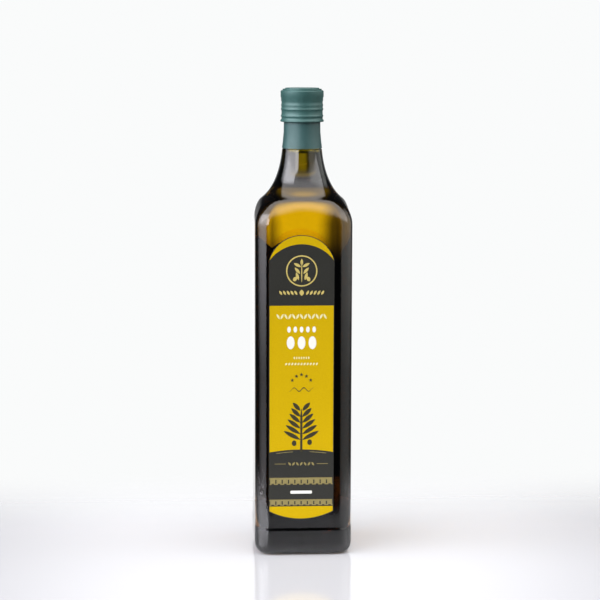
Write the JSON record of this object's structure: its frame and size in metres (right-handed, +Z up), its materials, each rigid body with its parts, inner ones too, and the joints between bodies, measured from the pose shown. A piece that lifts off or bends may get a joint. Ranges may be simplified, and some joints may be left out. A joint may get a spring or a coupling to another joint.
{
  "type": "olive oil bottle",
  "caption": "Square glass bottle with rounded corners, a round neck, a metal screw cap and neck sleeve, filled with oil and carrying arched front and back labels.",
  "frame": {"origin": "under the middle of the base, on the surface that the bottle stands on", "axes": "+Z up along the neck, the front label faces -Y, +X to the right of someone who faces that label"},
  "size_m": [0.0706, 0.0716, 0.3374],
  "materials": {
    "bottle_glass": "clear dark olive glass, glossy",
    "oil": "clear golden oil",
    "cap": "green lacquered aluminium, satin",
    "neck_sleeve": "green lacquered aluminium, satin",
    "label_front": "dark coated paper with yellow printed fields",
    "label_back": "dark coated paper"
  },
  "bodies": {
    "root": {"bottle_glass": "bottle_glass", "oil": "oil", "cap": "cap", "neck_sleeve": "neck_sleeve", "label_front": "label_front", "label_back": "label_back"}
  },
  "joints": []
}
